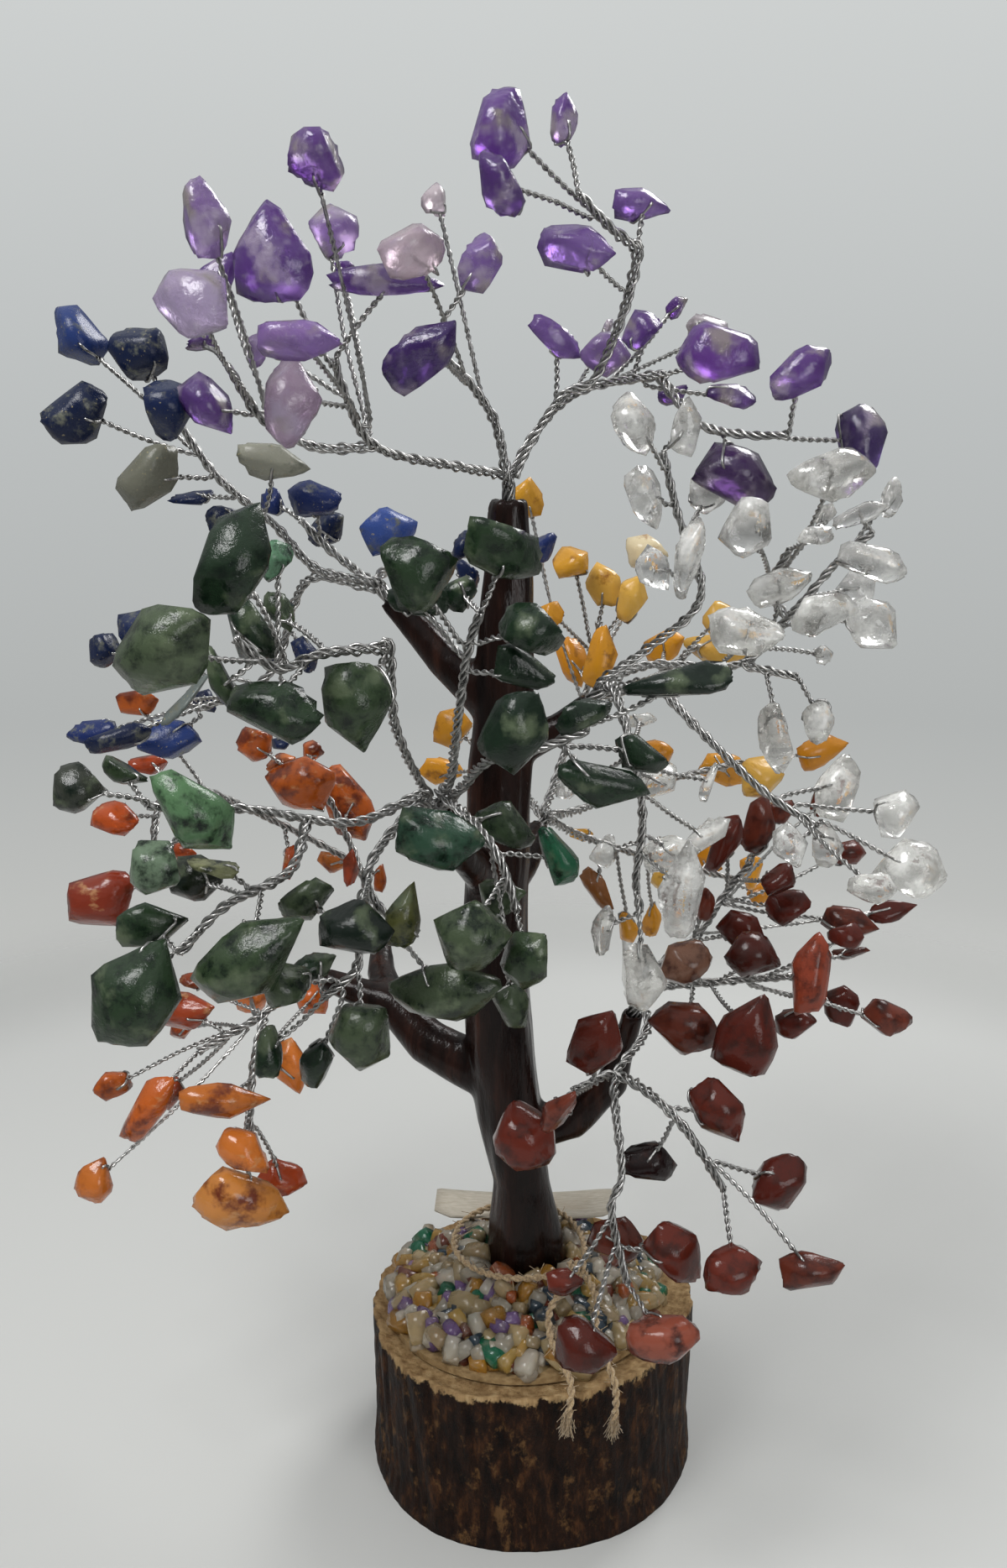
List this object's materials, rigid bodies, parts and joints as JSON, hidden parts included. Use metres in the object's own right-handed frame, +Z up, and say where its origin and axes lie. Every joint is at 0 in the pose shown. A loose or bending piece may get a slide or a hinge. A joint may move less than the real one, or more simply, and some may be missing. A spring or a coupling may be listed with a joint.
{
  "type": "gemstone tree ornament",
  "caption": "Desk ornament: a log-slice base heaped with gem gravel, a lacquered trunk with stub branches, and posable twisted-wire sprays of drilled gem chips.",
  "frame": {"origin": "middle of the log slice's flat underside", "axes": "+Z up the trunk, +X to the viewer's right, +Y away from the viewer"},
  "size_m": [0.183, 0.1498, 0.2801],
  "materials": {
    "bark_wood": "dark mottled bark round a tan sawn rim",
    "glue": "set clear glue",
    "pale_gravel": "polished clear and pale chips",
    "bright_gravel": "polished coloured chips",
    "trunk_lacquer": "glossy dark brown lacquer over modelled resin",
    "core_wire": "plain wire",
    "silver_wire": "bright silver-plated craft wire, twisted",
    "tag_card": "blank pale card",
    "jute": "two-ply jute twine",
    "amethyst_stone": "polished, clear to dark violet",
    "lapis_stone": "polished, deep blue with grey flecks",
    "green_stone": "polished, mossy green",
    "quartz_stone": "polished, clear with white veils",
    "yellow_stone": "polished, opaque honey yellow",
    "red_stone": "polished, deep brick red",
    "carnelian_stone": "polished, banded orange to red-brown"
  },
  "bodies": {
    "stand": {"log_base": "bark_wood", "gravel_bed": "glue", "gravel_pale": "pale_gravel", "gravel_bright": "bright_gravel", "trunk": "trunk_lacquer", "trunk_core": "core_wire", "amethyst_bundle": "silver_wire", "lapis_bundle": "silver_wire", "green_bundle": "silver_wire", "quartz_bundle": "silver_wire", "yellow_bundle": "silver_wire", "red_bundle": "silver_wire", "carnelian_bundle": "silver_wire", "amethyst_left_wires": "silver_wire", "amethyst_left_stones": "amethyst_stone", "quartz_right_wires": "silver_wire", "quartz_right_stones": "quartz_stone", "hang_tag": "tag_card", "twine_loop": "jute", "twine_tail_short": "jute", "twine_tail_long": "jute", "twine_knot": "jute"},
    "amethyst_top_spray": {"amethyst_top_wires": "silver_wire", "amethyst_top_stones": "amethyst_stone"},
    "amethyst_right_spray": {"amethyst_right_wires": "silver_wire", "amethyst_right_stones": "amethyst_stone"},
    "lapis_upper_spray": {"lapis_upper_wires": "silver_wire", "lapis_upper_stones": "lapis_stone"},
    "lapis_lower_spray": {"lapis_lower_wires": "silver_wire", "lapis_lower_stones": "lapis_stone"},
    "green_far_spray": {"green_far_wires": "silver_wire", "green_far_stones": "green_stone"},
    "green_upper_spray": {"green_upper_wires": "silver_wire", "green_upper_stones": "green_stone"},
    "green_right_spray": {"green_right_wires": "silver_wire", "green_right_stones": "green_stone"},
    "green_left_spray": {"green_left_wires": "silver_wire", "green_left_stones": "green_stone"},
    "green_lower_spray": {"green_lower_wires": "silver_wire", "green_lower_stones": "green_stone"},
    "quartz_upper_spray": {"quartz_upper_wires": "silver_wire", "quartz_upper_stones": "quartz_stone"},
    "quartz_far_spray": {"quartz_far_wires": "silver_wire", "quartz_far_stones": "quartz_stone"},
    "quartz_lower_spray": {"quartz_lower_wires": "silver_wire", "quartz_lower_stones": "quartz_stone"},
    "yellow_upper_spray": {"yellow_upper_wires": "silver_wire", "yellow_upper_stones": "yellow_stone"},
    "yellow_right_spray": {"yellow_right_wires": "silver_wire", "yellow_right_stones": "yellow_stone"},
    "red_right_spray": {"red_right_wires": "silver_wire", "red_right_stones": "red_stone"},
    "red_upper_spray": {"red_upper_wires": "silver_wire", "red_upper_stones": "red_stone"},
    "red_front_spray": {"red_front_wires": "silver_wire", "red_front_stones": "red_stone"},
    "carnelian_lower_spray": {"carnelian_lower_wires": "silver_wire", "carnelian_lower_stones": "carnelian_stone"},
    "carnelian_rear_spray": {"carnelian_rear_wires": "silver_wire", "carnelian_rear_stones": "carnelian_stone"}
  },
  "joints": [
    {"name": "amethyst_top_bend", "type": "hinge", "parent": "stand", "child": "amethyst_top_spray", "pos_m": [-0.00354, -0.00028, 0.21475], "axis": [0.6675, 0.7273, 0.1594], "range_deg": [0, 17]},
    {"name": "amethyst_right_bend", "type": "hinge", "parent": "stand", "child": "amethyst_right_spray", "pos_m": [-0.00472, 0.00146, 0.215], "axis": [-0.0601, -0.9309, 0.3603], "range_deg": [0, 17]},
    {"name": "lapis_upper_bend", "type": "hinge", "parent": "stand", "child": "lapis_upper_spray", "pos_m": [-0.03123, 0.00686, 0.1942], "axis": [0.2797, -0.9391, 0.1998], "range_deg": [0, 8]},
    {"name": "lapis_lower_bend", "type": "hinge", "parent": "stand", "child": "lapis_lower_spray", "pos_m": [-0.03269, 0.00632, 0.19297], "axis": [0.2706, 0.9321, -0.2406], "range_deg": [-20, 18]},
    {"name": "green_far_bend", "type": "hinge", "parent": "stand", "child": "green_far_spray", "pos_m": [-0.01974, -0.02492, 0.15855], "axis": [-0.52, -0.39, -0.76], "range_deg": [-5, 20]},
    {"name": "green_upper_bend", "type": "hinge", "parent": "stand", "child": "green_upper_spray", "pos_m": [-0.01721, -0.02607, 0.1588], "axis": [-0.1699, 0.6397, 0.7496], "range_deg": [-5, 18]},
    {"name": "green_right_bend", "type": "hinge", "parent": "stand", "child": "green_right_spray", "pos_m": [-0.01749, -0.02807, 0.15689], "axis": [0.5169, -0.2286, 0.825], "range_deg": [-6, 8]},
    {"name": "green_left_bend", "type": "hinge", "parent": "stand", "child": "green_left_spray", "pos_m": [-0.02063, -0.02623, 0.15717], "axis": [-0.0998, 0.449, -0.888], "range_deg": [0, 20]},
    {"name": "green_lower_bend", "type": "hinge", "parent": "stand", "child": "green_lower_spray", "pos_m": [-0.01949, -0.02778, 0.1563], "axis": [0.8973, -0.3988, -0.1894], "range_deg": [0, 7]},
    {"name": "quartz_upper_bend", "type": "hinge", "parent": "stand", "child": "quartz_upper_spray", "pos_m": [0.01305, -0.00258, 0.17557], "axis": [-0.0702, -0.9728, -0.2206], "range_deg": [0, 20]},
    {"name": "quartz_far_bend", "type": "hinge", "parent": "stand", "child": "quartz_far_spray", "pos_m": [0.01541, -0.00231, 0.17375], "axis": [-0.5715, -0.4713, -0.6718], "range_deg": [-1, 20]},
    {"name": "quartz_lower_bend", "type": "hinge", "parent": "stand", "child": "quartz_lower_spray", "pos_m": [0.01457, -0.00397, 0.17477], "axis": [0.239, 0.946, -0.2191], "range_deg": [-7, 8]},
    {"name": "yellow_upper_bend", "type": "hinge", "parent": "stand", "child": "yellow_upper_spray", "pos_m": [0.00268, 0.0229, 0.14166], "axis": [-0.1696, 0.7979, -0.5785], "range_deg": [-20, 20]},
    {"name": "yellow_right_bend", "type": "hinge", "parent": "stand", "child": "yellow_right_spray", "pos_m": [0.00438, 0.0233, 0.14047], "axis": [-0.0599, 0.5092, 0.8586], "range_deg": [-17, 20]},
    {"name": "red_right_bend", "type": "hinge", "parent": "stand", "child": "red_right_spray", "pos_m": [0.02293, -0.0068, 0.11028], "axis": [0.0601, 0.9818, 0.1803], "range_deg": [0, 20]},
    {"name": "red_upper_bend", "type": "hinge", "parent": "stand", "child": "red_upper_spray", "pos_m": [0.02173, -0.00531, 0.11132], "axis": [0.4306, -0.9012, 0.0501], "range_deg": [-3, 17]},
    {"name": "red_front_bend", "type": "hinge", "parent": "stand", "child": "red_front_spray", "pos_m": [0.02106, -0.0073, 0.11133], "axis": [0.5003, 0.4803, -0.7204], "range_deg": [0, 20]},
    {"name": "carnelian_lower_bend", "type": "hinge", "parent": "stand", "child": "carnelian_lower_spray", "pos_m": [-0.04964, 0.01507, 0.10707], "axis": [-0.2796, 0.9185, -0.2796], "range_deg": [-20, 20]},
    {"name": "carnelian_rear_bend", "type": "hinge", "parent": "stand", "child": "carnelian_rear_spray", "pos_m": [-0.03496, 0.03798, 0.10933], "axis": [-0.4282, 0.7669, -0.478], "range_deg": [-20, 20]}
  ]
}
